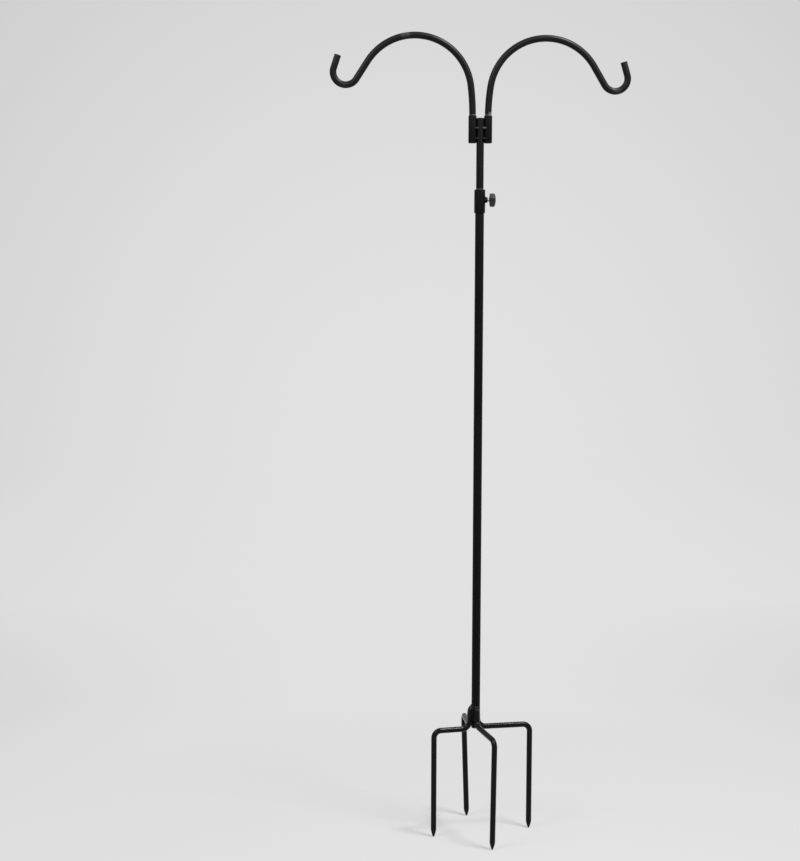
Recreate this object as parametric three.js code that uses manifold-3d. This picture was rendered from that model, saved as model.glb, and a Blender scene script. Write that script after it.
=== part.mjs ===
// Hanging plant stand: a telescopic steel pole on four ground prongs, with a double-socket
// head that carries two swinging shepherd's-crook arms. Millimetres, +Z up. The origin is on
// the pole's axis at the level of the prongs' points, and the arms lie along X.

import * as THREE from 'three';
import * as BufferGeometryUtils from 'three/addons/utils/BufferGeometryUtils.js';
import Module from 'manifold-3d';

const wasm = await Module();
wasm.setup();

const degrees = Math.PI / 180;

// ---------------------------------------------------------------- driving dimensions

// Fits
const seatGap = 0.3; // between pieces that touch or are welded
const slideClearance = 0.3; // radial play of a tube in a tube and of an arm in its socket
const threadClearance = 0.3; // radial play round the clamp screw

// Pole
const poleDiameter = 16;
const poleWall = 1;
const groundTubeLength = 586.5;
const middleTubeLength = 415;
const spigotWall = 1;
const spigotReach = 40; // into each of the two tubes that it joins
const upperTubeWall = 1;
const upperTubeLength = 420;

// Foot
const runHeight = 205; // ground to the middle of the level runs
const prongDiameter = 10;
const prongBendRadius = 13;
const prongLegRise = 24; // straight length welded to the pole
const pointLength = 14;
const pointFlat = 2; // diameter of the blunt end of a point
const poleEndDrop = 2.5; // pole's open end below the middle of the runs

// Clamp
const collarLength = 42;
const collarWall = 1.7;
const collarChamfer = 0.8;
const screwDrop = 19.5; // screw's axis below the collar's top
const screwDiameter = 6;
const nutAcrossFlats = 10;
const nutStandOff = 4;
const knobStandOff = 3; // knob's hub from the nut
const knobDiameter = 25;
const knobThickness = 11;
const knobLobes = 7;
const knobLobeDepth = 1.6;
const knobHubDiameter = 9;
const knobHubLength = 1;
const knobBoreDepth = 8;
const knobDomeRadius = 26;
const knobRounding = 1.2;

// Head
const shownReach = 82; // bare upper tube between the collar and the sockets
const socketLength = 49;
const socketWall = 0.9;
const socketLip = 2.8; // width of the rolled lip that stops the arm's foot
const socketLipThickness = 1.2;
const tubeTopDrop = 5.2; // upper tube's end below the sockets' rims
const capHeadHeight = 1.4;
const capStemLength = 10;
const tackHeights = [29, 8]; // weld tacks above the sockets' lower ends
const tackLength = 5.4; // half of the tack's width across the groove
const tackHeight = 2.3; // half of its height
const tackRise = 1.6; // how far it stands out past the tubes' touching line

// Arms
const armDiameter = 12;
const leadLength = 53; // slight outward lead of the riser above its socket
const leadSweep = 8.1 * degrees;
const armLean = 0.95 * degrees; // both arms lean this far to the right
const archRadius = 101.7;
const archSweep = 140.1 * degrees;
const slopeLength = 37.7;
const hookRadius = 22.6;
const hookSweep = 165.4 * degrees;
const tipLength = 24.2;

// Fineness of the round forms
const tubeSides = 24;
const rodSides = 16;
const prongSides = 12;
const archStep = 9 * degrees;
const hookStep = 10 * degrees;
const bendStep = 18 * degrees;

// Where each prong's leg is welded round the pole, and where its point stands: how far from
// the pole's axis and which way. Both angles are from the front, turning to the right.
const prongs = [
  { name: 'front', seat: 3 * degrees, reach: 97, bearing: 14.5 * degrees },
  { name: 'right', seat: 165 * degrees, reach: 106, bearing: 99.7 * degrees },
  { name: 'back', seat: 232 * degrees, reach: 90, bearing: 185.5 * degrees },
  { name: 'left', seat: 300 * degrees, reach: 83, bearing: 285.6 * degrees },
];

// ---------------------------------------------------------------- derived sizes and levels

const poleRadius = poleDiameter / 2;
const poleBore = poleRadius - poleWall;
const upperTubeRadius = poleBore - slideClearance;
const upperTubeBore = upperTubeRadius - upperTubeWall;
const prongRadius = prongDiameter / 2;
const armRadius = armDiameter / 2;
const socketBore = armRadius + slideClearance;
const socketRadius = socketBore + socketWall;
const socketOffset = upperTubeRadius + seatGap + socketRadius;
const collarBore = poleRadius + seatGap;
const collarRadius = collarBore + collarWall;

const poleEnd = runHeight - poleEndDrop;
const seam = poleEnd + groundTubeLength;
const middleTubeFoot = seam + seatGap;
const collarTop = middleTubeFoot + middleTubeLength;
const screwHeight = collarTop - screwDrop;
const socketFoot = collarTop + shownReach;
const socketRim = socketFoot + socketLength;
const upperTubeTop = socketRim - tubeTopDrop;
const armFoot = socketFoot + socketLipThickness + seatGap;
const legTop = runHeight + prongBendRadius + prongLegRise;

// ---------------------------------------------------------------- materials

function finish(color, roughness, metalness) {
  return new THREE.MeshStandardMaterial({ color, roughness, metalness });
}

const powderCoat = () => finish(0x101011, 0.5, 0.2);
const weldCoat = () => finish(0x0e0e0f, 0.6, 0.2);
const zincPlate = () => finish(0xb5b8ba, 0.35, 0.9);
const blackPlastic = () => finish(0x2a2a2c, 0.55, 0.0);

// ---------------------------------------------------------------- solids: join and cut

function solidOf(geometry) {
  const bare = geometry.clone();
  for (const name of Object.keys(bare.attributes)) {
    if (name !== 'position') bare.deleteAttribute(name);
  }
  const merged = BufferGeometryUtils.mergeVertices(bare, 1e-4);
  return new wasm.Manifold(new wasm.Mesh({
    numProp: 3,
    vertProperties: new Float32Array(merged.attributes.position.array),
    triVerts: new Uint32Array(merged.index.array),
  }));
}

function geometryOf(solid) {
  const mesh = solid.getMesh();
  const geometry = new THREE.BufferGeometry();
  geometry.setAttribute('position', new THREE.BufferAttribute(new Float32Array(mesh.vertProperties), 3));
  geometry.setIndex(new THREE.BufferAttribute(new Uint32Array(mesh.triVerts), 1));
  geometry.computeVertexNormals();
  return geometry;
}

function cut(body, ...tools) {
  return geometryOf(tools.reduce((rest, tool) => rest.subtract(solidOf(tool)), solidOf(body)));
}

// ---------------------------------------------------------------- basic forms

// A ring or disc turned about Z. The outline is a closed loop of [radius, height] pairs.
function turned(outline, sides = tubeSides) {
  const loop = outline.map(([r, z]) => new THREE.Vector2(r, z));
  const onAxis = outline[0][0] === 0 && outline[outline.length - 1][0] === 0;
  if (!onAxis) loop.push(loop[0].clone());
  return new THREE.LatheGeometry(loop, sides).rotateX(Math.PI / 2);
}

function tube(outer, inner, low, high) {
  return turned([[inner, low], [outer, low], [outer, high], [inner, high]]);
}

function rodAlongZ(radius, low, high, sides = tubeSides) {
  return turned([[0, low], [radius, low], [radius, high], [0, high]], sides);
}

// Turns what was made along Z so that it points along +X at the clamp screw's height.
function atScrew(geometry) {
  return geometry.rotateY(Math.PI / 2).translate(0, 0, screwHeight);
}

// A weld's smooth lump before it is cut to its neighbours.
function lump(radiusX, radiusY, radiusZ, x, y, z) {
  return new THREE.SphereGeometry(1, 14, 10).scale(radiusX, radiusY, radiusZ).translate(x, y, z);
}

// ---------------------------------------------------------------- bent rods

// A rod's middle line in its own upright plane: across is measured outwards and up is height.
// It is walked piece by piece from a start, with a heading measured from straight up and
// turning outwards, and it keeps one station for each cross-section.
class RodWalk {
  constructor(across, up, heading) {
    this.across = across;
    this.up = up;
    this.heading = heading;
    this.stations = [];
    this.mark();
  }

  mark() {
    this.stations.push({ across: this.across, up: this.up, heading: this.heading });
  }

  straight(length) {
    this.across += length * Math.sin(this.heading);
    this.up += length * Math.cos(this.heading);
    this.mark();
    return this;
  }

  // Positive sweeps turn outwards and down. Stations lie half a step either side of each
  // multiple of the step, so a level or upright spot on the bend falls in a flat facet.
  bend(radius, sweep, step) {
    const start = this.heading;
    const sense = Math.sign(sweep);
    const centre = {
      across: this.across + sense * radius * Math.cos(start),
      up: this.up - sense * radius * Math.sin(start),
    };
    const headings = [];
    const first = Math.ceil(Math.min(start, start + sweep) / step - 0.5);
    const last = Math.floor(Math.max(start, start + sweep) / step - 0.5);
    for (let k = first; k <= last; k += 1) {
      const heading = (k + 0.5) * step;
      const toEnd = Math.min(Math.abs(heading - start), Math.abs(heading - start - sweep));
      if (toEnd > step / 4) headings.push(heading);
    }
    if (sense < 0) headings.reverse();
    for (const heading of [...headings, start + sweep]) {
      this.heading = heading;
      this.across = centre.across - sense * radius * Math.cos(heading);
      this.up = centre.up + sense * radius * Math.sin(heading);
      this.mark();
    }
    return this;
  }
}

// The walked line as a curve in the XZ plane, stepped station by station.
class StationCurve extends THREE.Curve {
  constructor(stations) {
    super();
    this.stations = stations;
  }

  stationAt(u) {
    return this.stations[Math.round(u * (this.stations.length - 1))];
  }

  getPoint(u, target = new THREE.Vector3()) {
    const { across, up } = this.stationAt(u);
    return target.set(across, 0, up);
  }

  getPointAt(u, target) {
    return this.getPoint(u, target);
  }

  getTangentAt(u, target = new THREE.Vector3()) {
    const { heading } = this.stationAt(u);
    return target.set(Math.sin(heading), 0, Math.cos(heading));
  }
}

// A round bar swept along a walk, with a flat of its section square to the rod's plane.
function bentRod(walk, radius, sides) {
  const section = new THREE.Shape();
  for (let k = 0; k < sides; k += 1) {
    const angle = ((k + 0.5) / sides) * 2 * Math.PI;
    const x = radius * Math.cos(angle);
    const y = radius * Math.sin(angle);
    if (k === 0) section.moveTo(x, y);
    else section.lineTo(x, y);
  }
  section.closePath();
  return new THREE.ExtrudeGeometry(section, {
    steps: walk.stations.length - 1,
    curveSegments: 1,
    extrudePath: new StationCurve(walk.stations),
  });
}

// ---------------------------------------------------------------- foot

// A point on the ground plan, at a radius and an angle from the front turning to the right.
function onPlan(radius, angle) {
  return new THREE.Vector2(radius * Math.sin(angle), -radius * Math.cos(angle));
}

const seatRadius = poleRadius + seatGap + prongRadius;

// Draws the end of a rod that stands on the ground, across from its leg, in to a blunt point.
function sharpen(rod, across) {
  const position = rod.attributes.position;
  const taper = pointFlat / prongDiameter;
  for (let k = 0; k < position.count; k += 1) {
    if (Math.abs(position.getZ(k)) < 1e-3) {
      position.setX(k, across + (position.getX(k) - across) * taper);
      position.setY(k, position.getY(k) * taper);
    }
  }
  return rod;
}

// Leg up the pole, level run and ground prong, bent from one rod.
function prong({ seat, reach, bearing }) {
  const leg = onPlan(seatRadius, seat);
  const run = onPlan(reach, bearing).sub(leg);
  const walk = new RodWalk(0, legTop, Math.PI)
    .straight(prongLegRise)
    .bend(prongBendRadius, -Math.PI / 2, bendStep)
    .straight(run.length() - 2 * prongBendRadius)
    .bend(prongBendRadius, Math.PI / 2, bendStep)
    .straight(runHeight - prongBendRadius - pointLength)
    .straight(pointLength);
  return sharpen(bentRod(walk, prongRadius, prongSides), run.length())
    .rotateZ(Math.atan2(run.y, run.x))
    .translate(leg.x, leg.y, 0);
}

// The weld that caps a leg and runs down both sides of it in the corner with the pole.
function prongWeld({ seat }) {
  const weldHalfWidth = prongRadius + 0.6;
  const weldDepth = prongRadius + 1.2;
  const weldHalfHeight = 8;
  const middle = seatRadius - prongRadius * 0.4;
  const bead = lump(weldDepth, weldHalfWidth, weldHalfHeight, middle, 0, legTop - 1);
  const pole = rodAlongZ(poleRadius + seatGap, legTop - 20, legTop + 20);
  const leg = rodAlongZ(prongRadius + seatGap, legTop - 20, legTop + seatGap);
  return cut(bead, pole, leg.translate(seatRadius, 0, 0)).rotateZ(seat - Math.PI / 2);
}

// ---------------------------------------------------------------- pole and clamp

const groundTube = () => tube(poleRadius, poleBore, poleEnd, seam);

const joiningSpigot = () => {
  const radius = poleBore - seatGap;
  return tube(radius, radius - spigotWall, seam - spigotReach, seam + spigotReach);
};

function screwHole() {
  const length = collarRadius + nutStandOff + knobThickness;
  return atScrew(rodAlongZ(screwDiameter / 2 + threadClearance, 0, length));
}

const middleTube = () => cut(tube(poleRadius, poleBore, middleTubeFoot, collarTop), screwHole());

function clampCollar() {
  const foot = collarTop - collarLength;
  const ring = turned([
    [collarBore, foot],
    [collarRadius - collarChamfer, foot],
    [collarRadius, foot + collarChamfer],
    [collarRadius, collarTop - collarChamfer],
    [collarRadius - collarChamfer, collarTop],
    [collarBore, collarTop],
  ]);
  return cut(ring, screwHole());
}

// A hexagon nut whose inner side is saddled to the collar that it is welded to.
function clampNut() {
  const acrossCorners = nutAcrossFlats / Math.cos(30 * degrees);
  const outerFace = collarRadius + nutStandOff;
  const hexagon = new THREE.CylinderGeometry(acrossCorners / 2, acrossCorners / 2, outerFace, 6)
    .rotateX(Math.PI / 2)
    .translate(0, 0, outerFace / 2);
  const collar = rodAlongZ(collarRadius + seatGap, screwHeight - collarLength, screwHeight + collarLength);
  return cut(atScrew(hexagon), collar, screwHole());
}

const screwTip = upperTubeRadius + seatGap;
const knobFace = collarRadius + nutStandOff + knobStandOff;

function clampScrew() {
  const end = knobFace + knobBoreDepth - seatGap;
  const lead = 1; // dog point that bears on the tube
  return atScrew(turned([
    [0, screwTip],
    [screwDiameter / 2 - lead, screwTip],
    [screwDiameter / 2, screwTip + lead],
    [screwDiameter / 2, end],
    [0, end],
  ]));
}

// A moulded hand knob: rounded lobes under a shallow dome, with a hub towards the nut.
function starKnob() {
  const outline = new THREE.Shape();
  const count = knobLobes * 10;
  for (let k = 0; k < count; k += 1) {
    const angle = (k / count) * 2 * Math.PI;
    const hollow = 0.5 - 0.5 * Math.cos(knobLobes * angle);
    const radius = knobDiameter / 2 - knobRounding - knobLobeDepth * hollow;
    const x = radius * Math.cos(angle);
    const y = radius * Math.sin(angle);
    if (k === 0) outline.moveTo(x, y);
    else outline.lineTo(x, y);
  }
  outline.closePath();
  const lobed = new THREE.ExtrudeGeometry(outline, {
    depth: knobThickness - knobHubLength - 2 * knobRounding,
    bevelEnabled: true,
    bevelThickness: knobRounding,
    bevelSize: knobRounding,
    bevelSegments: 2,
    steps: 1,
  }).translate(0, 0, knobFace + knobHubLength + knobRounding);
  const crown = knobFace + knobThickness;
  const dome = new THREE.SphereGeometry(knobDomeRadius, 48, 36)
    .rotateX(Math.PI / 2)
    .translate(0, 0, crown - knobDomeRadius);
  const hub = rodAlongZ(knobHubDiameter / 2, knobFace, crown - knobThickness / 2);
  const bore = rodAlongZ(screwDiameter / 2 + threadClearance, 0, knobFace + knobBoreDepth);
  const body = solidOf(lobed).intersect(solidOf(dome)).add(solidOf(hub)).subtract(solidOf(bore));
  return atScrew(geometryOf(body));
}

// ---------------------------------------------------------------- head

const upperTube = () => tube(upperTubeRadius, upperTubeBore, upperTubeTop - upperTubeLength, upperTubeTop);

// A push-in plug that keeps rain out of the upper tube.
function tubeCap() {
  const seatLevel = upperTubeTop + seatGap;
  const stem = upperTubeBore - seatGap;
  const crown = upperTubeRadius - capHeadHeight / 2;
  return turned([
    [0, seatLevel - capStemLength],
    [stem, seatLevel - capStemLength],
    [stem, seatLevel],
    [upperTubeRadius, seatLevel],
    [upperTubeRadius, seatLevel + capHeadHeight / 2],
    [crown, seatLevel + capHeadHeight],
    [0, seatLevel + capHeadHeight],
  ]);
}

// An arm's socket: a short tube whose lower end is rolled in to stop the arm and let water out.
function armSocket(sign) {
  const lipBore = socketBore - socketLip;
  return turned([
    [lipBore, socketFoot],
    [socketRadius, socketFoot],
    [socketRadius, socketRim],
    [socketBore, socketRim],
    [socketBore, socketFoot + socketLipThickness],
    [lipBore, socketFoot + socketLipThickness],
  ]).translate(sign * socketOffset, 0, 0);
}

// A tack of weld laid across the groove between the upper tube and a socket.
function socketTack(sign, face, above) {
  const height = socketFoot + above;
  const contact = upperTubeRadius + seatGap / 2;
  const depth = Math.min(upperTubeRadius, socketRadius);
  const low = socketFoot - socketLength;
  const high = socketRim + socketLength;
  const bead = lump(tackLength, depth / 2 + tackRise / 2, tackHeight,
    sign * contact, face * (depth / 2 + tackRise / 2), height);
  const tubeTool = rodAlongZ(upperTubeRadius + seatGap, low, high);
  const socketTool = rodAlongZ(socketRadius + seatGap, low, high).translate(sign * socketOffset, 0, 0);
  return cut(bead, tubeTool, socketTool);
}

// ---------------------------------------------------------------- arms

// The crook: riser, slight lead outwards, wide arch, slope, hook and upturned tip. The lean is
// taken up in the lead, so the foot stands upright in its socket.
function armWalk(sign) {
  const lead = leadSweep + sign * armLean;
  return new RodWalk(socketOffset, armFoot, 0)
    .straight(socketRim - armFoot)
    .bend(leadLength / lead, lead, leadSweep / 2)
    .bend(archRadius, archSweep, archStep)
    .straight(slopeLength)
    .bend(hookRadius, -hookSweep, hookStep)
    .straight(tipLength);
}

function arm(sign) {
  const rod = bentRod(armWalk(sign), armRadius, rodSides);
  return sign > 0 ? rod : rod.rotateZ(Math.PI);
}

// ---------------------------------------------------------------- assembly

const stand = new THREE.Group();

function add(group, name, geometry, material) {
  const mesh = new THREE.Mesh(geometry, material);
  mesh.name = name;
  group.add(mesh);
}

const foot = new THREE.Group();
add(foot, 'ground_tube', groundTube(), powderCoat());
add(foot, 'joining_spigot', joiningSpigot(), powderCoat());
for (const each of prongs) {
  add(foot, `prong_${each.name}`, prong(each), powderCoat());
  add(foot, `prong_weld_${each.name}`, prongWeld(each), weldCoat());
}

const middle = new THREE.Group();
add(middle, 'middle_tube', middleTube(), powderCoat());
add(middle, 'clamp_collar', clampCollar(), powderCoat());
add(middle, 'clamp_nut', clampNut(), powderCoat());
add(middle, 'clamp_screw', clampScrew(), zincPlate());
add(middle, 'star_knob', starKnob(), blackPlastic());

const head = new THREE.Group();
add(head, 'upper_tube', upperTube(), powderCoat());
add(head, 'tube_cap', tubeCap(), blackPlastic());
for (const [side, sign] of [['left', -1], ['right', 1]]) {
  add(head, `arm_socket_${side}`, armSocket(sign), powderCoat());
  add(head, `arm_${side}`, arm(sign), powderCoat());
  for (const [faceName, face] of [['front', -1], ['rear', 1]]) {
    tackHeights.forEach((above, index) => {
      const level = index === 0 ? 'upper' : 'lower';
      add(head, `tack_${side}_${faceName}_${level}`, socketTack(sign, face, above), weldCoat());
    });
  }
}

stand.add(foot, middle, head);

export default stand;
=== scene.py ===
# %% [markdown]
# # A hanging plant stand in black powder coat
# The stand is a pole on four ground prongs. A thinner tube slides in the pole's top and is held
# by a hand screw, and its head carries two sockets with two swinging crook arms.
# The measured parts come in first, as a fixed frame. Everything made here is fitted to them, and
# rides on the same moving bodies, so the stand can still be raised, turned and swung.

# %% Load the measured frame
import math

import bmesh
import bpy
from mathutils import Matrix, Vector


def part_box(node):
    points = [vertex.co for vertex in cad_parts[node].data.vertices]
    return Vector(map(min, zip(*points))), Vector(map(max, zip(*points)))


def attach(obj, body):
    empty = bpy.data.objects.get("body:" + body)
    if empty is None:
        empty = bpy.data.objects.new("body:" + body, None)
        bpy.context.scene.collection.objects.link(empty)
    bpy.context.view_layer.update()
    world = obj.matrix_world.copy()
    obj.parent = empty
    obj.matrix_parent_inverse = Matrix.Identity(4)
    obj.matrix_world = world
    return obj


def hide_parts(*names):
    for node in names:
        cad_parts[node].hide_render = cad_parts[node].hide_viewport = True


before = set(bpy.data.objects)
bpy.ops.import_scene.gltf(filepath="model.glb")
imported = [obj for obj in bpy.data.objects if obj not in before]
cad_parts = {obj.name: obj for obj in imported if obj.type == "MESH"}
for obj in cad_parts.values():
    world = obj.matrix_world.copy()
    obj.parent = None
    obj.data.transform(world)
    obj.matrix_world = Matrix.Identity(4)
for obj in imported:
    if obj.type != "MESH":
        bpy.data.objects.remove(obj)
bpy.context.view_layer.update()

# %% [markdown]
# ## Working by selection
# Blender's operators act on whatever is selected, so each step first says which object it is
# about, and in edit mode which points. These helpers do that by place, as a hand would with a
# mouse.


# %% Helpers for selecting and shaping
def only(obj):
    """Leaves edit mode and makes this the one selected object."""
    if bpy.context.object and bpy.context.object.mode == "EDIT":
        bpy.ops.object.mode_set(mode="OBJECT")
    bpy.ops.object.select_all(action="DESELECT")
    obj.select_set(True)
    bpy.context.view_layer.objects.active = obj


def edit(obj):
    """Opens the object's mesh with all of it selected."""
    only(obj)
    bpy.ops.object.mode_set(mode="EDIT")
    bpy.ops.mesh.select_all(action="SELECT")


def leave_edit():
    bpy.ops.object.mode_set(mode="OBJECT")


def pick(test):
    """Selects the points that pass the test, with the edges and faces between them."""
    work = bmesh.from_edit_mesh(bpy.context.object.data)
    bpy.ops.mesh.select_mode(type="VERT")
    bpy.ops.mesh.select_all(action="DESELECT")
    for point in work.verts:
        if test(point.co):
            point.select_set(True)
    work.select_flush_mode()
    bmesh.update_edit_mesh(bpy.context.object.data)


def extrude(step):
    """The selected face or rim goes on by a step, and its new place stays selected."""
    bpy.ops.mesh.extrude_region_move(TRANSFORM_OT_translate={"value": step})


def resize(shares, centre):
    bpy.ops.transform.resize(value=shares, center_override=centre)


def put_in_place():
    """The place, turn and size of the selected object go into its mesh."""
    bpy.ops.object.transform_apply(location=True, rotation=True, scale=True)
    return bpy.context.object


def with_modifier(obj, kind, **settings):
    """Gives the object a modifier with these settings and applies it."""
    only(obj)
    modifier = obj.modifiers.new(kind.lower(), kind)
    for name, value in settings.items():
        setattr(modifier, name, value)
    bpy.ops.object.modifier_apply(modifier=modifier.name)


def break_edges(obj, width, sharper_than=0.9):
    """Rounds every edge that turns by more than an angle in radians, as paint leaves it."""
    with_modifier(
        obj, "BEVEL", width=width, segments=3, limit_method="ANGLE", angle_limit=sharper_than
    )


# %% [markdown]
# ## Ending a piece
# Every piece ends the same way. `settle` puts its place into its mesh, merges doubles, turns its
# faces outwards, and keeps its flats crisp while its rounds shade smooth. It counts the edges
# where not exactly two faces meet, which a closed piece has none of. `fit` then hands the piece
# to the frame.


# %% Helpers for ending a piece
def settle(obj, name, smooth_under=35, merge=0.00001):
    """Cleans and names a piece, stops if it is inside out, and prints its size."""
    only(obj)
    obj.name = obj.data.name = name
    put_in_place()
    edit(obj)
    bpy.ops.mesh.remove_doubles(threshold=merge)
    bpy.ops.mesh.normals_make_consistent(inside=False)
    leave_edit()
    bpy.ops.object.shade_smooth_by_angle(angle=math.radians(smooth_under))
    work = bmesh.new()
    work.from_mesh(obj.data)
    open_edges = sum(len(edge.link_faces) != 2 for edge in work.edges)
    inside_out = work.calc_volume(signed=True) < 0
    work.free()
    if inside_out:
        raise ValueError(f"{name} is inside out")
    low = [round(min(v.co[k] for v in obj.data.vertices), 4) for k in range(3)]
    high = [round(max(v.co[k] for v in obj.data.vertices), 4) for k in range(3)]
    print(name, "faces", len(obj.data.polygons), "open edges", open_edges, low, high)


def fit(obj, body, nodes, finish):
    """The piece rides on its body, takes the place of the plain nodes and gets its finish."""
    obj.data.materials.clear()
    obj.data.materials.append(finish.material)
    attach(obj, body)
    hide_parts(*nodes)


# %% [markdown]
# ## The camera
# The stand was photographed from about three metres, a little to the left of it and at about
# seven tenths of its height, with the camera tipped slightly down. Its place, its turn and its
# long lens were worked out from how the pole and the prongs' points line up.

# %% Camera
camera_place = (-0.297, -2.923, 1.068)
camera_swing, camera_tip, camera_tilt = -3.0, 5.93, 0.16  # degrees
camera = bpy.data.objects.new("camera", bpy.data.cameras.new("camera"))
bpy.context.scene.collection.objects.link(camera)
camera.data.sensor_fit = "HORIZONTAL"
camera.data.sensor_width = 36
camera.data.lens = 72
camera.matrix_world = (
    Matrix.Translation(camera_place)
    @ Matrix.Rotation(math.radians(camera_swing), 4, "Z")
    @ Matrix.Rotation(math.radians(90 - camera_tip), 4, "X")
    @ Matrix.Rotation(math.radians(camera_tilt), 4, "Z")
)
bpy.context.scene.camera = camera
print("camera at", tuple(camera.location), "with a lens of", camera.data.lens)

# %% [markdown]
# ## Writing materials as sums
# A material is a graph of nodes, which is easier to read as arithmetic. `Wire` wraps one socket,
# so that `1 - wear * 0.5` adds its Math nodes by itself.


# %% Wires
class Wire:
    def __init__(self, tree, socket):
        self.tree = tree
        self.socket = socket

    def maths(self, operation, *values):
        """A new Math node, fed with the values, which are wires or numbers."""
        node = self.tree.nodes.new("ShaderNodeMath")
        node.operation = operation
        for k, value in enumerate(values):
            if isinstance(value, Wire):
                self.tree.links.new(value.socket, node.inputs[k])
            else:
                node.inputs[k].default_value = value
        return Wire(self.tree, node.outputs[0])

    def __add__(self, other):
        return self.maths("ADD", self, other)

    __radd__ = __add__

    def __mul__(self, other):
        return self.maths("MULTIPLY", self, other)

    __rmul__ = __mul__

    def __sub__(self, other):
        return self.maths("SUBTRACT", self, other)

    def __rsub__(self, other):
        return self.maths("SUBTRACT", other, self)

    def __truediv__(self, other):
        return self.maths("DIVIDE", self, other)

    def __pow__(self, other):
        return self.maths("POWER", self, other)

    def __abs__(self):
        return self.maths("ABSOLUTE", self)

    def at_least(self, other):
        return self.maths("MAXIMUM", self, other)

    def at_most(self, other):
        return self.maths("MINIMUM", self, other)

    def clamped(self):
        return self.at_least(0.0).at_most(1.0)

    def ramp(self, low, high):
        """0 up to low, 1 from high on, and an even slope between them."""
        return ((self - low) / (high - low)).clamped()


# %% [markdown]
# `Finish` starts a material and adds any other node in one call. Every pattern is read from the
# object's own coordinates, in metres, so it has a real size and stays on its piece when the
# piece moves.


# %% Finishes
class Finish:
    def __init__(self, name):
        self.material = bpy.data.materials.new(name)
        self.material.use_nodes = True
        self.tree = self.material.node_tree
        self.shader = self.tree.nodes["Principled BSDF"]
        self.place = self.node("ShaderNodeTexCoord").outputs["Object"]

    def node(self, kind, settings=None, **values):
        made = self.tree.nodes.new(kind)
        for name, value in (settings or {}).items():
            setattr(made, name, value)
        for name, value in values.items():
            self.feed(made.inputs[name.replace("_", " ")], value)
        return made

    def feed(self, socket, value):
        if isinstance(value, Wire):
            value = value.socket
        if isinstance(value, bpy.types.NodeSocket):
            self.tree.links.new(value, socket)
        else:
            socket.default_value = value

    def set(self, **values):
        for name, value in values.items():
            self.feed(self.shader.inputs[name.replace("_", " ")], value)

    def axes(self):
        """The three coordinates of a place on the piece."""
        parts = self.node("ShaderNodeSeparateXYZ", Vector=self.place)
        return [Wire(self.tree, part) for part in parts.outputs]

    def grain(self, scale, detail=2.0, roughness=0.5, stretch=None):
        """Soft noise with so many swells to the metre, stretched along an axis if asked."""
        vector = self.place
        if stretch:
            vector = self.node("ShaderNodeMapping", Vector=vector, Scale=stretch).outputs[0]
        noise = self.node(
            "ShaderNodeTexNoise",
            Vector=vector,
            Scale=scale,
            Detail=detail,
            Roughness=roughness,
        )
        return Wire(self.tree, noise.outputs[0])

    def cells(self, scale):
        """How far the nearest of some scattered dots is, with so many of them to the metre."""
        cell = self.node("ShaderNodeTexVoronoi", Vector=self.place, Scale=scale)
        return Wire(self.tree, cell.outputs["Distance"])

    def blend(self, factor, first, second):
        """A colour that goes from the first to the second as the factor rises."""
        mix = self.node("ShaderNodeMix", {"data_type": "RGBA"})
        self.feed(mix.inputs[0], factor)
        for socket, value in ((mix.inputs[6], first), (mix.inputs[7], second)):
            self.feed(socket, value if isinstance(value, Wire) else (*value, 1.0))
        return Wire(self.tree, mix.outputs[2])

    def relief(self, height, depth):
        """Bump: the height map stands as far off the surface as the depth says, in metres."""
        bump = self.node("ShaderNodeBump", Height=height, Distance=depth, Strength=1.0)
        self.set(Normal=bump.outputs[0])


# %% [markdown]
# ## The studio
# A plain round cove: one pale sheet that is floor and, six metres out, rolls up into a wall all
# round. A flat card behind the stand would be simpler, but a cove gives the same plain background
# from every side. A disc is added. A second disc is extruded from it and widened in small steps
# that make the roll, then raised to the wall's height and deleted, which leaves the floor and
# the wall.

# %% Cove
cove_radius = 6.0
cove_roll = 0.8
roll_steps = 12
wall_height = 3.2

reach = cove_radius - cove_roll
bpy.ops.mesh.primitive_circle_add(vertices=128, radius=reach, fill_type="NGON")
cove = bpy.context.object
edit(cove)
for k in range(1, roll_steps + 1):
    before, turn = (step / roll_steps * math.pi / 2 for step in (k - 1, k))
    wider = cove_radius - cove_roll + cove_roll * math.sin(turn)
    extrude((0, 0, cove_roll * (math.cos(before) - math.cos(turn))))
    resize((wider / reach, wider / reach, 1), (0, 0, 0))
    reach = wider
extrude((0, 0, wall_height - cove_roll))
bpy.ops.mesh.delete(type="ONLY_FACE")
bpy.ops.mesh.select_all(action="SELECT")
bpy.ops.mesh.normals_make_consistent(inside=True)
leave_edit()
bpy.ops.object.shade_smooth_by_angle(angle=math.radians(30))
cove.name = "studio_cove"
print("cove reaches", reach, "and rises", wall_height, "faces", len(cove.data.polygons))

# %% [markdown]
# ## The studio's paper
# The lamps light only the middle of so wide a sheet. Far out it is therefore seen in a tone of its
# own, which lights nothing, and near the stand the lit paper is mixed in, so that it takes the
# prongs' shadows. That own tone carries a painted pool of light, palest beside the stand as the
# paper of the photograph is: it falls off to both sides and up the wall, and most on the floor a
# metre behind the stand.


# %% Paper
def seen_ray(tree):
    """1 where something is seen, straight or in a shiny or clear thing, and 0 where it lights."""
    ray = tree.nodes.new("ShaderNodeLightPath").outputs
    seen = Wire(tree, ray["Is Camera Ray"])
    for kind in ("Is Glossy Ray", "Is Transmission Ray"):
        seen = seen.at_least(Wire(tree, ray[kind]))
    return seen


paper_tone = 0.757
# palest_x and back_x: the middles of the painted light on the wall and of the painted shade on the
# floor.
palest_x, back_x = 0.3, -0.1  # the middle of the pale wall, and of the darker floor
side_fade, back_fade, height_fade = 0.018, 0.07, 0.0144  # per metre, squared
most_fade = 0.09
back_distance, back_falloff = 0.95, 0.9
lit_to, own_from = 0.1, 0.9  # from the pole, in metres
own_share = 0.58  # how much of the tone close to the stand is the paper's own

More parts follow.
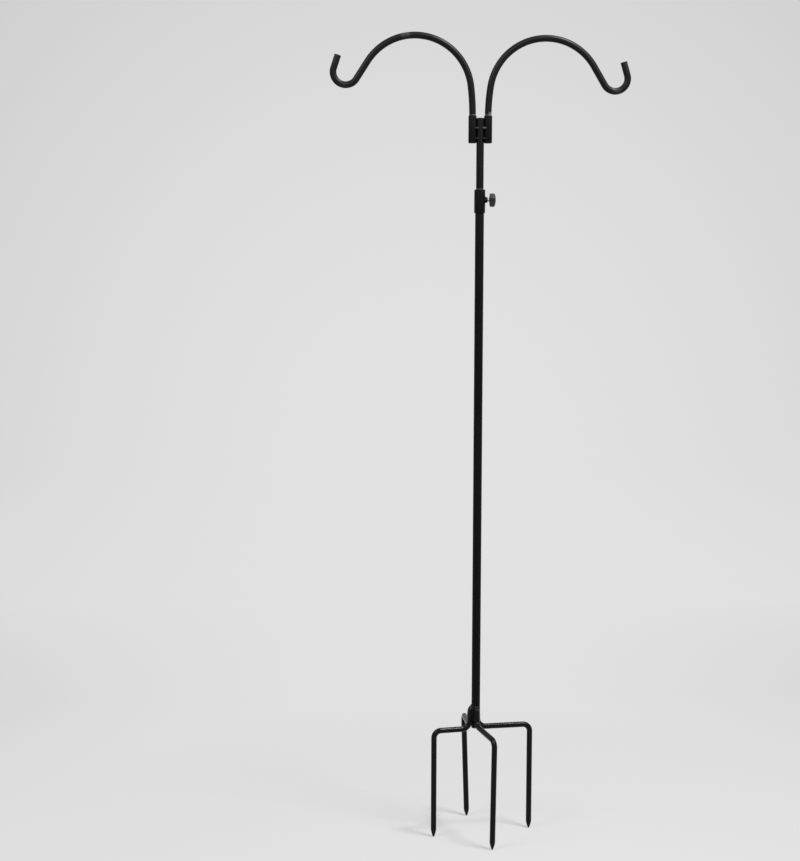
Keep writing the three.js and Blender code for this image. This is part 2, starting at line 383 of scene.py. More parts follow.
paper = Finish("studio paper")
x, y, z = paper.axes()
from_pole = (x * x + y * y) ** 0.5
behind = (1 - abs(y - back_distance) * back_falloff).clamped()
to_side, to_back = x - palest_x, x - back_x
# A painted falloff of light, darker away from the pale middle and on the floor behind the stand.
light_falloff = to_side * to_side * side_fade + to_back * to_back * behind * back_fade
own_tone = paper_tone * (1 - light_falloff.at_most(most_fade)) * (1 - z * z * height_fade)
pulp = paper.grain(60, 3.0)
paper.set(
    Base_Color=paper.blend(pulp, (0.615, 0.615, 0.615), (0.625, 0.625, 0.625)),
    Roughness=0.9,
    Specular_IOR_Level=0.1,
)
own = from_pole.ramp(lit_to, own_from) * (1 - own_share) + own_share
glow = paper.node("ShaderNodeEmission", Color=own_tone, Strength=1.0)
shown = paper.node("ShaderNodeMixShader", Fac=seen_ray(paper.tree) * own)
paper.tree.links.new(paper.shader.outputs[0], shown.inputs[1])
paper.tree.links.new(glow.outputs[0], shown.inputs[2])
paper.tree.links.new(shown.outputs[0], paper.tree.nodes["Material Output"].inputs[0])
paper.material.cycles.emission_sampling = "NONE"
cove.data.materials.append(paper.material)
print("paper nodes", len(paper.tree.nodes))

# %% [markdown]
# ## The lamps
# Two square soft boxes high in front, left and right, give every rod its two long highlights. A
# small one overhead throws the prongs' short shadows, and a weak wide one fills in from the
# front. The world adds a little even light, and above the cove it is seen as a pale grey.


# %% Lamps and world
def soft_lamp(name, place, aim_height, size, watts):
    """A rectangular lamp that looks at a level on the pole's axis."""
    lamp = bpy.data.objects.new(name, bpy.data.lights.new(name, "AREA"))
    bpy.context.scene.collection.objects.link(lamp)
    lamp.data.shape = "RECTANGLE"
    lamp.data.size, lamp.data.size_y = size
    lamp.data.energy = watts
    lamp.location = place
    ahead = Vector((0, 0, aim_height)) - Vector(place)
    lamp.rotation_euler = ahead.to_track_quat("-Z", "Y").to_euler()
    print(name, "at", place, "watts", watts)


soft_lamp("lamp_right_front", (1.75, -1.7, 2.9), aim_height=0.6, size=(1.3, 1.3), watts=41)
soft_lamp("lamp_left_front", (-1.95, -1.35, 2.9), aim_height=0.6, size=(1.3, 1.3), watts=41)
soft_lamp("lamp_overhead", (0.78, -0.6, 2.9), aim_height=0.2, size=(0.44, 0.44), watts=58)
soft_lamp("lamp_fill", (-0.25, -2.6, 2.75), aim_height=0.5, size=(1.0, 0.6), watts=14)

world_light = 0.15
world_seen = 0.65
room = bpy.data.worlds.new("room")
bpy.context.scene.world = room
room.use_nodes = True
sky = room.node_tree.nodes["Background"]
sky.inputs["Color"].default_value = (1, 1, 1, 1)
strength = seen_ray(room.node_tree) * (world_seen - world_light) + world_light
room.node_tree.links.new(strength.socket, sky.inputs["Strength"])
bpy.context.scene.view_settings.view_transform = "Standard"

# %% [markdown]
# ## Black powder coat
# Powder coat is a thick baked paint. It flows almost flat but leaves a faint orange peel about a
# millimetre across, with finer grain on it. It is satin, so its roughness is middling and varies
# a little. Handling rubs it slightly paler here and there, and fine dust settles in patches.
# One function makes them all, so that every part of the stand has the same paint and differs
# only in how dark, how smooth and how worn it is, and where highlights are painted on it.


# %% Powder coat
primer_or_highlight_grey = (0.17, 0.17, 0.165)
peel_depth = 0.00005


def powder_coat(name, tint, rough, gloss, peel, wear_and_highlights=None):
    """The mask, if there is one, says where the coat is rubbed down to grey primer, and where
    highlights are painted in the same grey.
    """
    coat = Finish(name)
    rolling = coat.grain(55, 3.0)
    fine = coat.grain(1100, 4.0, 0.55)
    rubbed = coat.grain(38, 5.0, 0.62).ramp(0.56, 0.78)
    specks = 1 - coat.cells(900).ramp(0.0, 0.16)
    pale = tuple(value * 2.2 for value in tint)
    dust = tuple(value * 3.6 for value in tint)
    colour = coat.blend(rubbed * 0.6 + rolling * 0.2, tint, pale)
    colour = coat.blend(specks * rubbed * 0.7, colour, dust)
    # The mask's grey is worn primer in some places and a painted highlight in others.
    if wear_and_highlights:
        colour = coat.blend(wear_and_highlights(coat), colour, primer_or_highlight_grey)
    uneven = 0.7 + rolling * 0.28 + rubbed * 0.25 + fine * 0.32
    coat.set(
        Base_Color=colour,
        Roughness=(uneven * rough).clamped(),
        Specular_IOR_Level=gloss,
    )
    coat.relief(coat.grain(760, 2.0) * 0.8 + fine * 0.35, peel_depth * peel)
    print(name, "nodes", len(coat.tree.nodes))
    return coat


# %% [markdown]
# ## Where the coat is worn, and painted highlights
# Steel rubs on steel in two places: where each arm turns in its socket, and along the tube that
# slides in the clamp. Painting a mask by hand would need an image, so rings and spots are put in
# their places and broken up with noise. The spots in the hooks and on top of the left arch are
# painted highlights, where light catches the bends. The right arm's foot has one bright curl,
# where the coat has chipped off at the socket's rim.

# %% Worn marks and painted highlights
def band(coat, low, high, edge=0.0006):
    """A ring of the surface between two levels, in metres."""
    z = coat.axes()[2]
    return z.ramp(low, low + edge) * (1 - z.ramp(high - edge, high))


def spot(coat, place, reach):
    """1 at a place on the surface, falling to 0 at its reach."""
    gap = coat.node("ShaderNodeVectorMath", {"operation": "DISTANCE"}, Vector=coat.place)
    gap.inputs[1].default_value = place
    return 1 - Wire(coat.tree, gap.outputs["Value"]).ramp(reach * 0.3, reach)


clamp_drop = 0.0012  # the clamp sleeve and the tube end in it sit this much lower in the photo
clamp_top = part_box("clamp_collar")[1].z - clamp_drop
socket_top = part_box("arm_socket_right")[1].z
left_hook, right_hook = (-0.247, 0, 1.387), (0.2475, 0, 1.379)
left_arch = (-0.1365, -0.004, 1.4805)
curl = (0.0175, -0.0045, 1.3382)


def arm_wear_and_highlights(coat):
    """A worn ring at the socket, painted highlights as spots in the hooks and on an arch, and the
    curl.
    """
    ring = band(coat, socket_top + 0.0003, socket_top + 0.0023)
    scuff_and_sheen_noise = coat.grain(420, 4.0, 0.6).ramp(0.36, 0.56)
    marks = ring * 0.75 * scuff_and_sheen_noise
    # The spots in the hooks and on the left arch are painted highlights, not wear.
    for place, reach, much in (
        (left_hook, 0.013, 0.1),
        (right_hook, 0.013, 0.2),
        (left_arch, 0.012, 0.25),
    ):
        marks = marks + spot(coat, place, reach) * scuff_and_sheen_noise * much
    bright = spot(coat, curl, 0.0042) - spot(coat, curl, 0.0026) * 0.8
    return (marks + bright.clamped() * 1.1).clamped()


def slide_wear(coat):
    """The sliding tube is rubbed along its length and ringed where it leaves the clamp."""
    long_scratch = coat.grain(900, 3.0, 0.6, (1, 1, 0.02)).ramp(0.56, 0.74)
    ring = band(coat, clamp_top + 0.0003, clamp_top + 0.0019)
    return (ring * 0.5 + long_scratch * 0.06).clamped()


pole_coat = powder_coat(
    "black powder coat", (0.0026, 0.0026, 0.0028), rough=0.38, gloss=0.07, peel=0.4
)
tube_coat = powder_coat(
    "black powder coat, slid on",
    (0.0036, 0.0036, 0.0038),
    rough=0.36,
    gloss=0.07,
    peel=0.4,
    wear_and_highlights=slide_wear,
)
bar_coat = powder_coat(
    "black powder coat on prongs",
    (0.0025, 0.0025, 0.0027),
    rough=0.17,
    gloss=0.125,
    peel=0.08,
)
arm_coat = powder_coat(
    "black powder coat on arms",
    (0.0057, 0.0057, 0.006),
    rough=0.34,
    gloss=0.1,
    peel=0.4,
    wear_and_highlights=arm_wear_and_highlights,
)

# %% [markdown]
# ## Coat over welds, zinc and plastic
# The coat lies over the weld beads too, but their ripples break the shine. The clamp screw is
# zinc plated, bright with a slight blue cast and duller streaks. The knob is moulded plastic, a
# little greyer than the steel, with the fine even texture that a sparked mould leaves.

# %% Weld coat
tack_drop = 0.0022  # the upper tacks sit this much lower in the photo
tack_level = 1.3128


def tack_highlights(coat):
    """Painted highlights on the upper front tacks, where their tops catch the light."""
    right = spot(coat, (0.0074, -0.0075, tack_level), 0.0062)
    left = spot(coat, (-0.0074, -0.0075, tack_level), 0.0055)
    return (right * 0.3 + left * 0.1).clamped()


weld_coat = powder_coat(
    "coat over welds", (0.0045, 0.0045, 0.0045), rough=0.3, gloss=0.16, peel=2.4
)
# The tacks' paler tint and their spots are painted highlights.
tack_coat = powder_coat(
    "coat over tacks with painted highlights",
    (0.006, 0.006, 0.006),
    rough=0.4,
    gloss=0.08,
    peel=1.2,
    wear_and_highlights=tack_highlights,
)

# %% Zinc and plastic
zinc = Finish("bright zinc")
streaks = zinc.grain(420, 4.0, 0.6, (0.2, 1, 1))
zinc.set(
    Base_Color=zinc.blend(streaks, (0.46, 0.47, 0.49), (0.66, 0.67, 0.68)),
    Metallic=1.0,
    Roughness=(0.24 + streaks * 0.22).clamped(),
)
zinc.relief(streaks, 0.00003)

plastic = Finish("moulded black plastic")
spark = plastic.grain(2600, 3.0, 0.7)
handled = plastic.grain(140, 4.0).ramp(0.45, 0.75)
plastic.set(
    Base_Color=plastic.blend(handled, (0.017, 0.017, 0.0175), (0.028, 0.028, 0.0285)),
    Roughness=(0.46 + spark * 0.12 - handled * 0.08).clamped(),
    Specular_IOR_Level=0.17,
)
plastic.relief(spark, 0.00006)
print("finishes", [material.name for material in bpy.data.materials])

# %% [markdown]
# ## Pole tubes
# The pole is drawn steel tube. A tube could be cut out of a solid rod, but it is simpler as a
# cylinder without ends that gets a wall by Solidify and broken edges by Bevel. The three tubes
# and the short one in the seam differ only in size and level, which come from the frame.


# %% Tubes
def open_tube(name, outer, wall, low, high, broken_edge=0.0003, sides=72):
    bpy.ops.mesh.primitive_cylinder_add(
        vertices=sides,
        radius=outer,
        depth=high - low,
        end_fill_type="NOTHING",
        location=(0, 0, (low + high) / 2),
    )
    made = bpy.context.object
    with_modifier(made, "SOLIDIFY", thickness=wall, offset=-1, use_even_offset=True)
    break_edges(made, broken_edge)
    settle(made, name)
    return made


def levels(node):
    low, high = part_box(node)
    return low.z, high.z


def half_width(node):
    low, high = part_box(node)
    return (high.x - low.x) / 2


pole_radius = half_width("middle_tube")
upper_radius = half_width("upper_tube")
tube_wall = 0.001
fuller = 0.00015  # weld and paint close the grooves of the head by this much on each tube
print("pole radius", round(pole_radius, 5), "upper tube radius", round(upper_radius, 5))

for node, radius, body, top_drop, coat in (
    ("ground_tube", pole_radius, "ground_stake", 0, pole_coat),
    ("middle_tube", pole_radius, "middle_pole", clamp_drop, pole_coat),
    ("upper_tube", upper_radius + fuller, "upper_pole", 0, tube_coat),
):
    low, high = levels(node)
    made = open_tube("pole_" + node, radius, tube_wall, low, high - top_drop)
    fit(made, body, [node], coat)

spigot = open_tube("seam_spigot", upper_radius, tube_wall, *levels("joining_spigot"))
fit(spigot, "ground_stake", ["joining_spigot"], pole_coat)

# %% [markdown]
# ## Bent bars
# The arms and the prongs are solid round bar, bent cold round formers. A curve with a round
# section would be quicker, but here they are modelled as they are made, which keeps each bend's
# true radius: a disc is added where the bar starts, its face is extruded for each straight length
# and spun round the former's middle for each bend, and it stays selected for the next step.
# Spin turns against the right-hand rule here, so its angle is given the other sign.


# %% A bar that is bent step by step
class BentBar:
    """Bends in an upright plane. The heading is measured from straight up, turning outwards."""

    def __init__(self, start, outwards, radius, heading, sides):
        self.outwards = Vector(outwards).normalized()
        self.hinge = Vector((0, 0, 1)).cross(self.outwards)
        self.end = Vector(start)
        self.heading = heading
        self.length = 0
        bpy.ops.mesh.primitive_circle_add(
            vertices=sides, radius=radius, fill_type="NGON", location=start
        )
        self.piece = put_in_place()
        edit(self.piece)

    def ahead(self, turn=0.0):
        angle = self.heading + turn
        return Vector((0, 0, math.cos(angle))) + self.outwards * math.sin(angle)

    def straight(self, length):
        step = self.ahead() * length
        extrude(step)
        self.end += step
        self.length += length

    def bend(self, radius, sweep, steps):
        side = math.copysign(1, sweep)
        middle = self.end + self.ahead(math.pi / 2) * side * radius
        bpy.ops.mesh.spin(steps=steps, angle=-sweep, center=middle, axis=self.hinge)
        self.heading += sweep
        self.end = middle - self.ahead(math.pi / 2) * side * radius
        self.length += abs(sweep) * radius

    def drawn(self, length, share):
        """A forged taper: the end face goes on and shrinks to a share of its width."""
        self.straight(length)
        resize((share, share, 1), self.end)

    def done(self, name, broken_edge):
        leave_edit()
        break_edges(self.piece, broken_edge, math.radians(50))
        settle(self.piece, name, 40)
        print(name, "bar length", round(self.length, 4), "ends at", tuple(self.end))
        return self.piece


# %% [markdown]
# ## The crook arms
# Each arm rises out of its socket, leads slightly outwards, goes over in a wide arch and down
# a straight slope, and turns up again in the hook that carries a basket. The stand was
# photographed with both arms leaning a degree to the right, which is taken up in the lead.

# %% Arms
arm_radius = 0.00612
lead_length = 0.053
lead_sweep = math.radians(8.1)
arm_lean = math.radians(0.95)
arch_radius = 0.1017
arch_sweep = math.radians(140.1)
slope_length = 0.0377
hook_radius = 0.0226
hook_sweep = math.radians(165.4)
tip_length = 0.0242

socket_middle = {}
for side, sign in (("left", -1), ("right", 1)):
    low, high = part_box("arm_socket_" + side)
    socket_middle[side] = (low.x + high.x) / 2
    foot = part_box("arm_" + side)[0].z
    lead = lead_sweep + sign * arm_lean
    bar = BentBar((socket_middle[side], 0, foot), (sign, 0, 0), arm_radius, 0.0, 36)
    bar.straight(high.z - foot)
    bar.bend(lead_length / lead, lead, 10)
    bar.bend(arch_radius, arch_sweep, 52)
    bar.straight(slope_length)
    bar.bend(hook_radius, -hook_sweep, 40)
    bar.straight(tip_length)
    crook = bar.done("crook_" + side, 0.0005)
    fit(crook, side + "_arm", ["arm_" + side], arm_coat)

# %% [markdown]
# ## The ground prongs
# Four bars of one pattern: a short leg welded upright against the pole, a level run outwards
# and a long prong that is pushed into the soil. The end is drawn to a blunt point on the forge,
# in three heats that leave it slightly rounded instead of a true cone. The leg's top is cut at a
# slant, so that it dies away against the pole under its weld.
# They were bent by hand and are not quite alike. Each has its own seat round the pole and its own
# bearing, in degrees from the front, and its own reach. Its run stands a little over or under
# the common height at the pole and at the elbow, and two of the prongs lean outwards.

# %% Sizes of the prongs
prong_radius = 0.00518
leg_bend = 0.0155
prong_bend = 0.013
leg_rise = 0.024
run_height = 0.205
seat_radius = pole_radius + 0.0053
leg_top = run_height + prong_bend + leg_rise
slant = ((0.0, 0.5), (0.0025, 0.68), (0.006, 0.82), (0.011, 0.94))  # drop, share of the width
point_length = 0.014
point_heats = ((0.35, 0.82), (0.4, 0.6), (0.25, 0.41))  # share of the length, of the width


def prong_plan(seat, bearing, reach, at_pole, at_elbow, lean=0):
    return {
        "seat": seat,
        "bearing": bearing,
        "reach": reach,
        "near": run_height + at_pole,
        "far": run_height + at_elbow,
        "lean": math.radians(lean),
    }


prongs = {
    "front": prong_plan(3, 15.1, 0.0977, at_pole=0.004, at_elbow=-0.0022, lean=0.8),
    "right": prong_plan(159, 99.7, 0.106, at_pole=-0.0046, at_elbow=-0.0022),
    "back": prong_plan(232, 188.9, 0.0907, at_pole=-0.0022, at_elbow=-0.0022, lean=1.95),
    "left": prong_plan(300, 285.6, 0.083, at_pole=-0.0028, at_elbow=-0.002),
}
print("leg top", round(leg_top, 4), "reaches", [plan["reach"] for plan in prongs.values()])


# %% Prongs
def on_plan(radius, bearing, height=0.0):
    """A point at a bearing from the front of the stand, turning to the right."""
    angle = math.radians(bearing)
    return Vector((radius * math.sin(angle), -radius * math.cos(angle), height))


def cut_leg_slant(seat):
    """Draws the rings of points at the leg's top in towards the pole."""
    against_pole = on_plan(seat_radius - prong_radius, seat)
    for drop, share in slant:
        pick(lambda point: abs(point.z - leg_top + drop) < 0.0002)
        resize((share, share, 1), against_pole)


def lean_out(elbow, outwards, bend_length, angle):
    """Turns everything beyond the elbow's start about a level line through the elbow."""
    pick(lambda point: (point - elbow).dot(outwards) > -0.7 * bend_length)
    for axis, share in (("X", outwards.x), ("Y", outwards.y)):
        bpy.ops.transform.rotate(value=angle * share, orient_axis=axis, center_override=elbow)


for name, plan in prongs.items():
    near, far = plan["near"], plan["far"]
    leg = on_plan(seat_radius, plan["seat"], leg_top)
    run = on_plan(plan["reach"], plan["bearing"], leg_top) - leg
    sweep = math.pi / 2 + math.atan2(far - near, run.length)
    heel = leg_bend * math.tan(sweep / 2)
    corner = prong_bend * math.tan(sweep / 2)
    bar = BentBar(leg, run, prong_radius, math.pi, 28)
    for (upper, _), (lower, _) in zip(slant, slant[1:]):
        bar.straight(lower - upper)
    bar.straight(leg_top - near - heel - slant[-1][0])
    bar.bend(leg_bend, -sweep, 14)
    bar.straight(math.hypot(run.length, far - near) - heel - corner)
    bar.bend(prong_bend, sweep, 14)
    bar.straight(far - corner - point_length)
    for length, width in point_heats:
        bar.drawn(point_length * length, width)
    cut_leg_slant(plan["seat"])
    if plan["lean"]:
        elbow = leg + run - Vector((0, 0, leg_top - far))
        lean_out(elbow, run.normalized(), corner, plan["lean"])
    made = bar.done("ground_prong_" + name, 0.0003)
    fit(made, "ground_stake", ["prong_" + name], bar_coat)

# %% [markdown]
# ## Welds
# A hand-laid weld is a row of small overlapping puddles. Beads run down each leg in the corners
# against the pole, and a cap of three short ones closes its top. The beads are squashed balls
# set one over the other. The tacks on the head start from the measured solids. A weld could be
# sculpted by hand, but a script repeats better what is worked out, so each is made one skin by
# a fine remesh, softened, and then pushed about a little by a cloud pattern.


# %% Weld helpers
def joined(objects):
    """All of them as the first one, with its place in its mesh."""
    only(objects[0])
    for other in objects[1:]:
        other.select_set(True)
    bpy.ops.object.join()
    return put_in_place()


def melt(obj, name, grain, ripple, swell):
    """One rippled skin from whatever the mesh holds."""
    with_modifier(obj, "REMESH", mode="VOXEL", voxel_size=grain)
    with_modifier(obj, "SMOOTH", factor=0.6, iterations=3)
    cloud = bpy.data.textures.new("ripple", "CLOUDS")
    cloud.noise_scale = swell
    with_modifier(
        obj, "DISPLACE", texture=cloud, texture_coords="GLOBAL", strength=ripple, mid_level=0.5
    )
    settle(obj, name, smooth_under=180, merge=0.000001)


def bead(start, end, width, puddles):
    """Overlapping squashed balls from one point to another, as one object."""
    balls = []
    for k in range(puddles):
        place = Vector(start).lerp(Vector(end), k / (puddles - 1))
        bpy.ops.mesh.primitive_uv_sphere_add(
            segments=16, ring_count=10, radius=width / 2, location=place
        )
        balls.append(bpy.context.object)
        balls[-1].scale = (1, 1, 0.62 + 0.05 * (k % 2))
    return joined(balls)


def copy_of(obj):
    """A new object with its own copy of the mesh."""
    made = bpy.data.objects.new(obj.name + "_copy", obj.data.copy())
    bpy.context.scene.collection.objects.link(made)
    return made


# %% Leg welds
first_seat = prongs["front"]["seat"]
bead_foot = run_height + prong_bend + 0.001
beads = []
for spread, rise, sink in ((24, 0.0, 0.001), (11, 0.011, 0.0)):
    for turn in (-spread, spread):
        foot = on_plan(0.0092, first_seat + turn, bead_foot + rise)
        head = on_plan(0.0088, first_seat + turn * 0.7, leg_top - sink)
        beads.append(bead(foot, head, width=0.0046, puddles=9))
cap_spread = 16
for turn in (-cap_spread, 0, cap_spread):
    out = 0.0108 - 0.0006 * abs(turn) / cap_spread
    outer = on_plan(out, first_seat + turn, leg_top - 0.0045)
    inner = on_plan(0.0087, first_seat + turn, leg_top + 0.0028)
    beads.append(bead(outer, inner, width=0.0038, puddles=5))
first_weld = joined(beads)
melt(first_weld, "leg_weld_front", grain=0.00035, ripple=0.0003, swell=0.003)

for name, plan in prongs.items():
    made = first_weld
    if name != "front":
        made = copy_of(first_weld)
        made.matrix_world = Matrix.Rotation(math.radians(plan["seat"] - first_seat), 4, "Z")
        settle(made, "leg_weld_" + name, smooth_under=180, merge=0.000001)
    fit(made, "ground_stake", ["prong_weld_" + name], weld_coat)

# %% Tacks on the head
for node in sorted(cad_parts):
    if node.startswith("tack_"):
        tack = copy_of(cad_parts[node])
        edit(tack)
        bpy.ops.mesh.remove_doubles(threshold=0.000005)
        leave_edit()
        if node.endswith("upper"):
            bpy.ops.transform.translate(value=(0, 0, -tack_drop))
        melt(tack, "head_" + node, grain=0.00022, ripple=0.00025, swell=0.002)
        fit(tack, "upper_pole", [node], tack_coat)

# %% [markdown]
# ## The head's sockets
# A socket is a short tube whose lower end is rolled in, so the arm stops there and rain drains
# out. A tube with a washer under it would leave a seam, so the lip is rolled here too: the lower
# rim of a cylinder without ends is extruded and drawn inwards in small steps, and Solidify gives
# the wall.

# %% Sockets
socket_wall = 0.0009
lip_bore = 0.0035
lip_roll = 0.0016
lip_steps = 5
for side, centre in socket_middle.items():
    low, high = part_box("arm_socket_" + side)
    outer = (high.x - low.x) / 2 + fuller
    rim_middle = (centre, 0, low.z)
    bpy.ops.mesh.primitive_cylinder_add(
        vertices=72,
        radius=outer,
        depth=high.z - low.z - lip_roll,
        end_fill_type="NOTHING",
        location=(centre, 0, (high.z + low.z + lip_roll) / 2),
    )
    socket = put_in_place()
    edit(socket)
    pick(lambda point: point.z < low.z + lip_roll + 0.0001)
    width = outer
    for k in range(1, lip_steps + 1):
        before, turn = (step / lip_steps * math.pi / 2 for step in (k - 1, k))
        extrude((0, 0, lip_roll * (math.sin(before) - math.sin(turn))))
        narrower = outer - lip_roll * (1 - math.cos(turn))
        resize((narrower / width, narrower / width, 1), rim_middle)
        width = narrower
    extrude((0, 0, 0))
    resize((lip_bore / width, lip_bore / width, 1), rim_middle)
    bpy.ops.mesh.select_all(action="SELECT")
    bpy.ops.mesh.normals_make_consistent(inside=False)
    leave_edit()
    with_modifier(socket, "SOLIDIFY", thickness=socket_wall, offset=-1, use_even_offset=True)
    break_edges(socket, 0.00022)
    settle(socket, "socket_" + side, 40)
    fit(socket, "upper_pole", ["arm_socket_" + side], pole_coat)

# %% [markdown]
# ## The tube's cap
# The plug that closes the upper tube is moulded plastic: a stem that grips inside and a shallow
# domed head. Round parts like it are turned here step by step, as on a lathe: a disc is added,
# and its face is extruded and resized for each level of the profile.


# %% Tube cap
def turned(profile, start, axis, sides=72):
    """Steps of (along, radius) from the start, each made by an extrude and a resize."""
    start, axis = Vector(start), Vector(axis)
    bpy.ops.mesh.primitive_circle_add(
        vertices=sides,
        radius=profile[0][1],
        fill_type="NGON",
        location=start + axis * profile[0][0],
        rotation=axis.to_track_quat("Z", "Y").to_euler(),
    )
    made = put_in_place()
    edit(made)
    for (before, wide), (along, radius) in zip(profile, profile[1:]):
        extrude(axis * (along - before))
        share = radius / wide
        resize([1 if abs(v) > 0.5 else share for v in axis], start + axis * along)
    leave_edit()
    return made


cap_foot, cap_top = levels("tube_cap")
head_radius = half_width("tube_cap")
stem_radius = 0.0054
head_height = 0.0014
stem = cap_top - cap_foot - head_height
cap = turned(
    [
        (0.0, stem_radius - 0.0006),
        (0.0008, stem_radius),
        (stem - 0.0001, stem_radius),
        (stem, head_radius - 0.0003),
        (stem + 0.0003, head_radius),
        (stem + 0.0007, head_radius - 0.0001),
        (stem + 0.0010, head_radius - 0.0006),
        (stem + 0.0012, head_radius - 0.0019),
        (stem + head_height, head_radius - 0.0042),
    ],
    start=(0, 0, cap_foot),
    axis=(0, 0, 1),
)
settle(cap, "tube_cap_plug", 40)
fit(cap, "upper_pole", ["tube_cap"], plastic)

# %% [markdown]
# ## The clamp's sleeve
# A short sleeve is welded round the pole's top to give the clamp screw something to bear on. It
# is a tube with rounded ends, and its hole for the screw is cut with a boolean, as a drill cuts
# the real one.


# %% Sleeve
def cut(obj, tool, operation="DIFFERENCE"):
    with_modifier(obj, "BOOLEAN", object=tool, operation=operation, solver="EXACT")
    bpy.data.objects.remove(tool)


def drill(radius, start, end, sides=48):
    """A round tool between two points, to be cut away."""
    start, end = Vector(start), Vector(end)
    bpy.ops.mesh.primitive_cylinder_add(
        vertices=sides,
        radius=radius,
        depth=(end - start).length,
        location=(start + end) / 2,
        rotation=(end - start).to_track_quat("Z", "Y").to_euler(),
    )
    return put_in_place()


screw_low, screw_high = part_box("clamp_screw")
screw_level = (screw_low.z + screw_high.z) / 2
screw_radius = (screw_high.z - screw_low.z) / 2
clear_hole = screw_radius + 0.0003
on_axis = (0, 0, screw_level)
past_nut = (0.02, 0, screw_level)

collar_low, collar_high = levels("clamp_collar")
collar_radius = half_width("clamp_collar")
collar_wall = 0.0017
collar = open_tube(
    "clamp_sleeve", collar_radius, collar_wall, collar_low - clamp_drop, clamp_top, 0.0007, 96
)
cut(collar, drill(clear_hole, on_axis, past_nut))
settle(collar, "clamp_sleeve")
fit(collar, "middle_pole", ["clamp_collar"], pole_coat)

# %% [markdown]
# ## The clamp's nut
# A hexagon nut is welded to the sleeve's side and the screw runs in it, so it presses on the
# sliding tube. It is a six-sided cylinder whose outer corners are cut back by a cone, as a stamped
# nut's are, and whose foot is cut to the sleeve's curve. The cone is kept by an intersection,
# which a bevel could not match, since it takes more off the corners than off the flats.

# %% Nut
nut_low, nut_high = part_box("clamp_nut")
across_flats = nut_high.z - nut_low.z
blank_foot = 0.006
cone_foot, cone_wide = 0.004, 0.0085
cone_narrow, cone_length = 0.0047, 0.0055
bpy.ops.mesh.primitive_cylinder_add(
    vertices=6,
    radius=across_flats / math.sqrt(3),
    depth=nut_high.x - blank_foot,
    location=((nut_high.x + blank_foot) / 2, 0, screw_level),
    rotation=(0, math.pi / 2, 0),
)
nut = put_in_place()
cone_top = nut_high.x + 0.0002 - cone_foot
corner_cone = turned(
    [(0.0, cone_wide), (cone_top - cone_length, cone_wide), (cone_top, cone_narrow)],
    start=(cone_foot, 0, screw_level),
    axis=(1, 0, 0),
)
cut(nut, corner_cone, "INTERSECT")
cut(nut, drill(collar_radius + 0.0003, (0, 0, collar_low), (0, 0, collar_high), 96))
cut(nut, drill(clear_hole, on_axis, past_nut))
break_edges(nut, 0.00025, sharper_than=0.5)
settle(nut, "clamp_hexagon_nut", 30)
fit(nut, "middle_pole", ["clamp_nut"], pole_coat)

# %% [markdown]
# The nut sits in a ring of weld that follows the sleeve. Small balls are set round the nut's
# foot on the sleeve's curve and melted into one rippled bead.

# %% Weld round the nut
puddle_count = 26
ring_radius = across_flats / 2 + 0.0002
puddles = []
for k in range(puddle_count):
    angle = k / puddle_count * math.tau
    y = ring_radius * math.cos(angle)
    z = screw_level + ring_radius * math.sin(angle)
    x = math.sqrt((collar_radius + 0.0002) ** 2 - y * y)
    bpy.ops.mesh.primitive_uv_sphere_add(
        segments=14, ring_count=8, radius=0.0008 + 0.0001 * (k % 3), location=(x, y, z)
    )
    puddles.append(bpy.context.object)
nut_weld = joined(puddles)
melt(nut_weld, "nut_weld", grain=0.00028, ripple=0.0002, swell=0.002)
fit(nut_weld, "middle_pole", [], weld_coat)

# %% [markdown]
# ## The clamp screw
# The screw has a real M6 thread, since its shank shows beside the knob. One millimetre of profile
# is a short zigzag line, which the Screw modifier winds up round the axis. Both ends are cut
# square with bisect, which also fills them, and the point is turned down so that it can press
# without marking the tube.

# %% Clamp screw
thread_pitch = 0.001
thread_depth = 0.00058
zigzag = [(0, 1), (0.06, 1), (0.44, 0), (0.62, 0), (1, 1)]  # share of the pitch, of the depth
thread_start = screw_low.x - 0.002003  # a hair off two turns, so no point lies on a cut
turns = int((screw_high.x - thread_start) / thread_pitch) + 2
dog_length = 0.001

bpy.ops.mesh.primitive_circle_add(vertices=4, radius=thread_pitch, fill_type="NOTHING")
screw = bpy.context.object
edit(screw)
work = bmesh.from_edit_mesh(screw.data)
bmesh.ops.delete(work, geom=work.verts, context="VERTS")
points = [
    work.verts.new((along * thread_pitch, 0, screw_radius - (1 - crest) * thread_depth))
    for along, crest in zigzag
]
for first, second in zip(points, points[1:]):
    work.edges.new((first, second))
bmesh.update_edit_mesh(screw.data)
leave_edit()
with_modifier(
    screw,
    "SCREW",
    axis="X",
    angle=math.tau,
    steps=48,
    screw_offset=thread_pitch,
    iterations=turns,
    use_merge_vertices=True,
    merge_threshold=0.000002,
)
edit(screw)
bpy.ops.transform.translate(value=(thread_start, 0, screw_level))
bpy.ops.mesh.remove_doubles(threshold=0.000002)
for place, outer in ((screw_low.x + dog_length, False), (screw_high.x, True)):
    bpy.ops.mesh.select_all(action="SELECT")
    bpy.ops.mesh.bisect(
        plane_co=(place, 0, screw_level),
        plane_no=(1, 0, 0),
        use_fill=True,
        threshold=0.0000001,
        clear_outer=outer,
        clear_inner=not outer,
    )
leave_edit()
dog_point = turned(
    [(0.0, 0.0018), (0.0003, 0.0021), (dog_length + 0.0001, 0.0021)],
    start=(screw_low.x, 0, screw_level),
    axis=(1, 0, 0),
    sides=36,
)
screw = joined([screw, dog_point])
settle(screw, "clamp_screw_threaded", 30, 0.000001)
fit(screw, "screw_slide", ["clamp_screw"], zinc)

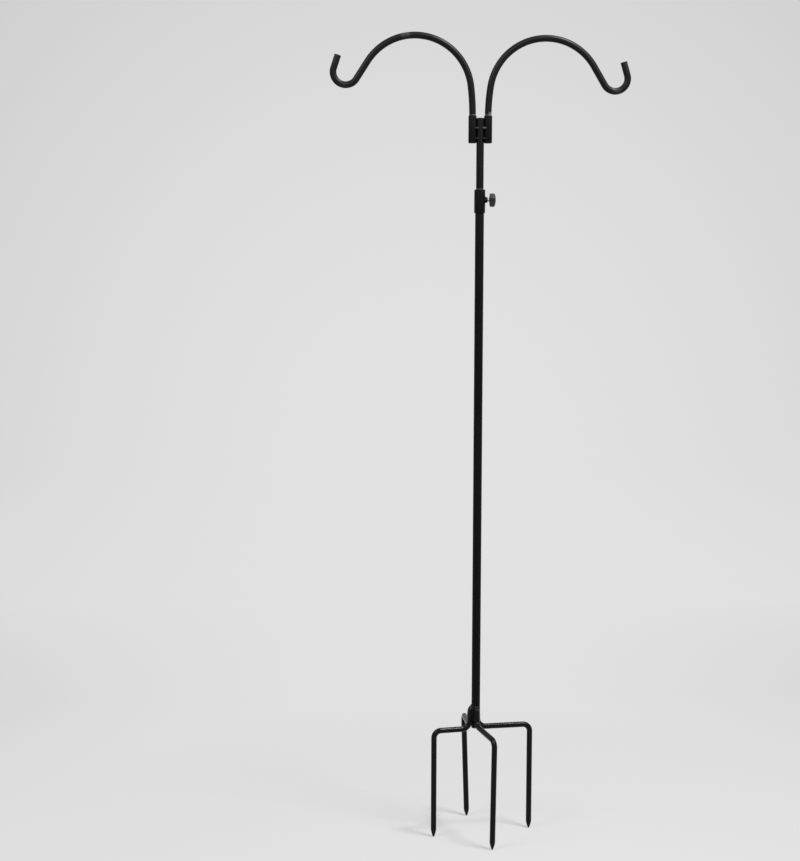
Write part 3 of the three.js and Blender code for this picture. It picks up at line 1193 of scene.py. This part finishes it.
# %% [markdown]
# ## The star knob
# The knob is one plastic moulding: a lobed grip that fingers close round, slightly domed on its
# outer face, with a short hub on the screw side. It could be a star outline that is extruded, but
# then its edges would be hard. So its profile is turned from a disc of many points, and the
# points between the lobes are then drawn in towards the axis, the rim more than the face. A
# subdivision makes it as smooth as a moulding.

# %% Star knob
knob_low, knob_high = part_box("star_knob")
lobes = 7
steps_per_lobe = 18
lobe_depth = 0.0016
rim = screw_level - knob_low.z
hub_radius = 0.0045
crown = knob_high.x - knob_low.x + 0.0012
dome = 0.034


def domed(radius):
    return crown - dome + math.sqrt(dome * dome - radius * radius)


knob = turned(
    [
        (0.0, 0.0034),
        (0.0, hub_radius - 0.0003),
        (0.0003, hub_radius),
        (0.0009, hub_radius),
        (0.0012, hub_radius + 0.0003),
        (0.0014, rim * 0.66),
        (0.0014, rim - 0.0009),
        (0.0015, rim - 0.0004),
        (0.0018, rim - 0.0001),
        (0.0024, rim),
        (0.0050, rim),
        (0.0052, rim - 0.00018),
        (0.0054, rim - 0.00018),
        (0.0056, rim),
        (0.0084, rim),
        (0.0091, rim - 0.00015),
        (0.0095, rim - 0.0006),
        (domed(rim - 0.0016), rim - 0.0016),
    ]
    + [(domed(rim * share), rim * share) for share in (0.74, 0.6, 0.4, 0.2, 0.05)],
    start=(knob_low.x, 0, screw_level),
    axis=(1, 0, 0),
    sides=lobes * steps_per_lobe,
)


# %% [markdown]
# The hollows between the lobes are pressed in ring by ring. A point's phase says how far it is
# from the middle of its lobe, and the rim moves by the whole depth, the face by less.

# %% Lobes of the knob
def at_phase(phase, inner, outer):
    """A test for the points of one phase, between two shares of the rim."""

    def test(point):
        across = Vector((point.y, point.z - screw_level))
        step = math.atan2(across.x, -across.y) / math.tau * lobes * steps_per_lobe
        on_ring = inner * rim < across.length <= outer * rim
        return on_ring and round(step) % steps_per_lobe == phase

    return test


edit(knob)
for phase in range(1, steps_per_lobe):
    hollow = 0.5 - 0.5 * math.cos(math.tau * phase / steps_per_lobe)
    for inner, outer, share in ((0.8, 1.1, 1.0), (0.7, 0.8, 0.6), (0.55, 0.7, 0.25)):
        pick(at_phase(phase, inner, outer))
        drawn_in = 1 - share * hollow * lobe_depth / rim
        resize((1, drawn_in, drawn_in), on_axis)
leave_edit()
with_modifier(knob, "SUBSURF", levels=1, render_levels=1)
bore_end = screw_high.x + 0.0003
cut(knob, drill(clear_hole, (0.012, 0, screw_level), (bore_end, 0, screw_level)))
settle(knob, "star_knob_grip", 40)
fit(knob, "knob", ["star_knob"], plastic)
